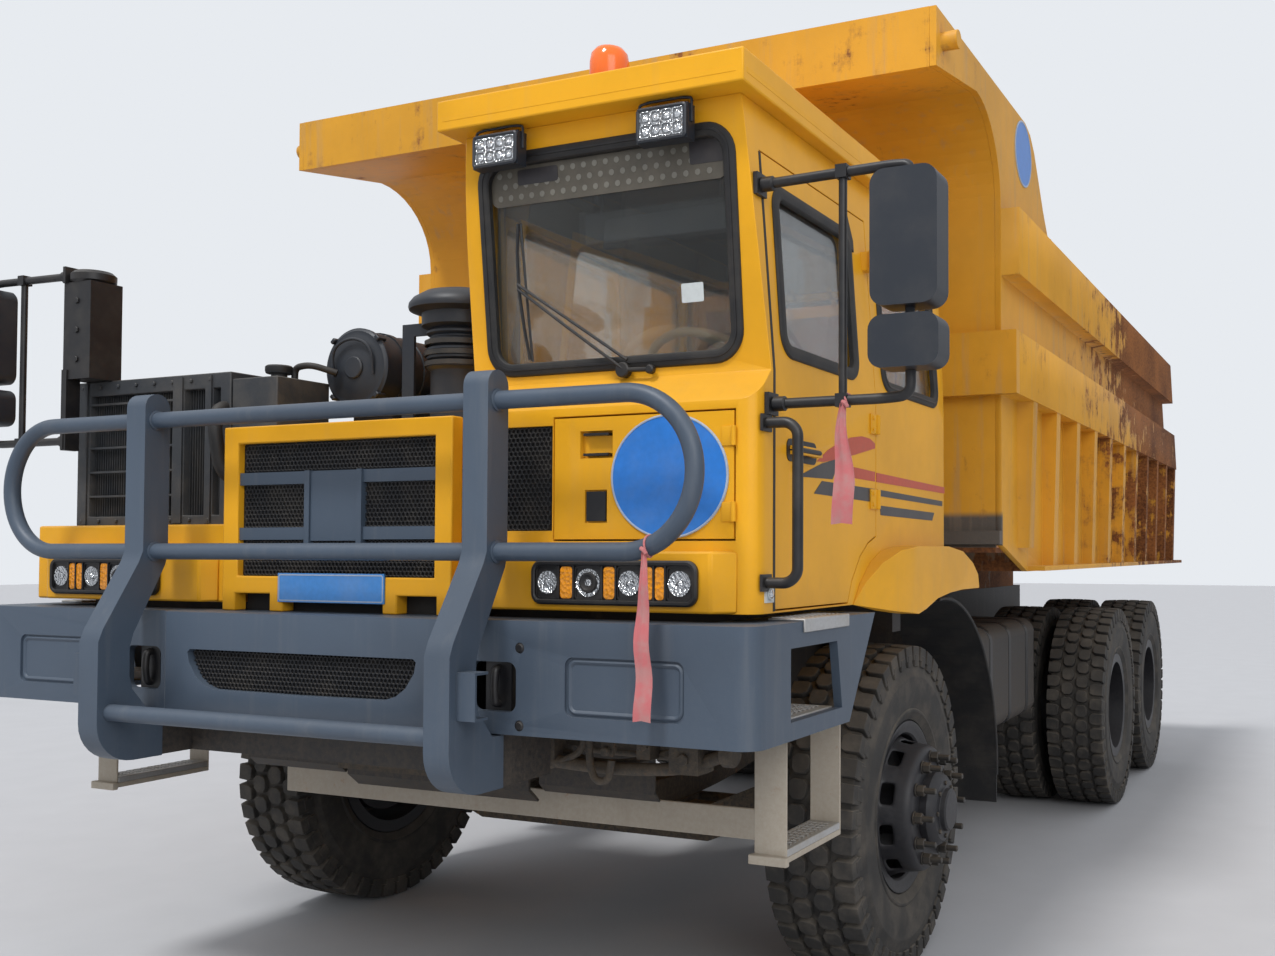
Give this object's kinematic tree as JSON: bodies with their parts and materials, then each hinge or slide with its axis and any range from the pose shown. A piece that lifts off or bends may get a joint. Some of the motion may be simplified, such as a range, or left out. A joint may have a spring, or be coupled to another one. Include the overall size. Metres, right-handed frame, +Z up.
{
  "type": "mining dump truck",
  "caption": "Wide-body three-axle mining dump truck with a half-width cab on its left, tube bull guard, canopy bed that tips, steered front wheels and twin rear wheels.",
  "frame": {"origin": "middle of the bounding box's footprint, on the ground", "axes": "+Z up, the truck's front faces -Y, +X is the truck's left, the cab side"},
  "size_m": [4.37, 8.89, 3.96],
  "materials": {
    "chassis_black": "matte",
    "axle_steel": "rough",
    "engine_gray": "rough",
    "slate_paint": "satin",
    "chequer_plate": "worn",
    "dusty_steel": "dusty",
    "yellow_paint": "dusty gloss",
    "black_mesh": "matte",
    "lamp_black": "gloss",
    "black_rubber": "matte",
    "window_glass": "tinted",
    "cab_plastic": "matte",
    "seat_fabric": "woven",
    "black_metal": "satin",
    "beacon_orange": "clear",
    "black_plastic": "satin",
    "radiator_gray": "dusty",
    "bed_paint": "worn",
    "hoist_chrome": "polished",
    "tyre_rubber": "worn",
    "wheel_black": "satin"
  },
  "bodies": {
    "root": {"chassis": "chassis_black", "cross_members": "chassis_black", "front_axle": "axle_steel", "leaf_springs": "axle_steel", "drive_axles": "axle_steel", "engine": "engine_gray", "bumper": "slate_paint", "bull_guard": "slate_paint", "step_treads": "chequer_plate", "hanging_steps": "dusty_steel", "under_plate": "dusty_steel", "grille_frame": "yellow_paint", "black_mesh": "black_mesh", "engine_hood": "yellow_paint", "lamp_panels": "yellow_paint", "lamps": "lamp_black", "fenders": "yellow_paint", "mudguards": "black_rubber", "cab_shell": "yellow_paint", "cab_roof": "yellow_paint", "cab_windows": "window_glass", "cab_interior": "cab_plastic", "seat_pads": "seat_fabric", "steering_wheel": "cab_plastic", "wipers": "black_metal", "beacon": "beacon_orange", "mirror_arms": "black_metal", "mirror_heads": "black_plastic", "right_deck": "yellow_paint", "radiator": "radiator_gray", "air_intake": "black_plastic", "side_tanks": "chassis_black"},
    "knuckle_left": {"knuckle_left": "axle_steel"},
    "knuckle_right": {"knuckle_right": "axle_steel"},
    "tie_rod": {"tie_rod": "axle_steel"},
    "wheel_front_left": {"tyre_front_left": "tyre_rubber", "rim_front_left": "wheel_black"},
    "wheel_front_right": {"tyre_front_right": "tyre_rubber", "rim_front_right": "wheel_black"},
    "wheels_mid_left": {"tyres_mid_left": "tyre_rubber", "rims_mid_left": "wheel_black"},
    "wheels_mid_right": {"tyres_mid_right": "tyre_rubber", "rims_mid_right": "wheel_black"},
    "wheels_rear_left": {"tyres_rear_left": "tyre_rubber", "rims_rear_left": "wheel_black"},
    "wheels_rear_right": {"tyres_rear_right": "tyre_rubber", "rims_rear_right": "wheel_black"},
    "cab_door": {"cab_door": "yellow_paint", "door_glass": "window_glass"},
    "storage_lid": {"storage_lid": "yellow_paint"},
    "bed": {"bed_floor": "bed_paint", "bed_front": "bed_paint", "bed_sides": "bed_paint"},
    "hoist_barrels": {"hoist_barrels": "chassis_black"},
    "hoist_stage_1": {"hoist_stage_1": "hoist_chrome"},
    "hoist_stage_2": {"hoist_stage_2": "hoist_chrome"},
    "hoist_rods": {"hoist_rods": "hoist_chrome"}
  },
  "joints": [
    {"name": "steer_left", "type": "hinge", "parent": "root", "child": "knuckle_left", "pos_m": [1.1, -2.45, 0.675], "axis": [0, 0, 1], "range_deg": [-32, 32]},
    {"name": "steer_right", "type": "hinge", "parent": "root", "child": "knuckle_right", "pos_m": [-1.1, -2.45, 0.675], "axis": [0, 0, 1], "range_deg": [-32, 32]},
    {"name": "tie_rod_pivot", "type": "hinge", "parent": "knuckle_left", "child": "tie_rod", "pos_m": [1.1, -2.12, 0.56], "axis": [0, 0, 1], "range_deg": [-32, 32]},
    {"name": "spin_front_left", "type": "hinge", "parent": "knuckle_left", "child": "wheel_front_left", "pos_m": [1.37, -2.45, 0.675], "axis": [1, 0, 0], "continuous": true},
    {"name": "spin_front_right", "type": "hinge", "parent": "knuckle_right", "child": "wheel_front_right", "pos_m": [-1.37, -2.45, 0.675], "axis": [1, 0, 0], "continuous": true},
    {"name": "spin_mid_left", "type": "hinge", "parent": "root", "child": "wheels_mid_left", "pos_m": [1.355, 1.35, 0.675], "axis": [1, 0, 0], "continuous": true},
    {"name": "spin_mid_right", "type": "hinge", "parent": "root", "child": "wheels_mid_right", "pos_m": [-1.355, 1.35, 0.675], "axis": [1, 0, 0], "continuous": true},
    {"name": "spin_rear_left", "type": "hinge", "parent": "root", "child": "wheels_rear_left", "pos_m": [1.355, 2.85, 0.675], "axis": [1, 0, 0], "continuous": true},
    {"name": "spin_rear_right", "type": "hinge", "parent": "root", "child": "wheels_rear_right", "pos_m": [-1.355, 2.85, 0.675], "axis": [1, 0, 0], "continuous": true},
    {"name": "door_swing", "type": "hinge", "parent": "root", "child": "cab_door", "pos_m": [1.6283, -3.048, 2.2], "axis": [0, 0, 1], "range_deg": [0, 75]},
    {"name": "lid_swing", "type": "hinge", "parent": "root", "child": "storage_lid", "pos_m": [1.546, -4.0583, 1.97], "axis": [0, 0, 1], "range_deg": [0, 30]},
    {"name": "bed_tilt", "type": "hinge", "parent": "root", "child": "bed", "pos_m": [0, 3.6, 1.4], "axis": [-1, 0, 0], "range_deg": [0, 50]},
    {"name": "hoist_lean", "type": "hinge", "parent": "root", "child": "hoist_barrels", "pos_m": [0, 0.961, 0.49585], "axis": [-1, 0, 0], "range_deg": [0, 26]},
    {"name": "hoist_slide_1", "type": "slide", "parent": "hoist_barrels", "child": "hoist_stage_1", "axis": [0, -0.1359, 0.9907], "range_m": [0, 0.7477]},
    {"name": "hoist_slide_2", "type": "slide", "parent": "hoist_stage_1", "child": "hoist_stage_2", "axis": [0, -0.1359, 0.9907], "range_m": [0, 0.7477]},
    {"name": "hoist_slide_3", "type": "slide", "parent": "hoist_stage_2", "child": "hoist_rods", "axis": [0, -0.1359, 0.9907], "range_m": [0, 0.7477]}
  ],
  "couplings": [
    {"joint": "steer_right", "follows": "steer_left", "ratio": 1},
    {"joint": "tie_rod_pivot", "follows": "steer_left", "ratio": -1},
    {"joint": "hoist_lean", "follows": "bed_tilt", "ratio": 0.5},
    {"joint": "hoist_slide_1", "follows": "bed_tilt", "m_per_rad": 0.84535},
    {"joint": "hoist_slide_2", "follows": "bed_tilt", "m_per_rad": 0.84535},
    {"joint": "hoist_slide_3", "follows": "bed_tilt", "m_per_rad": 0.84535}
  ]
}
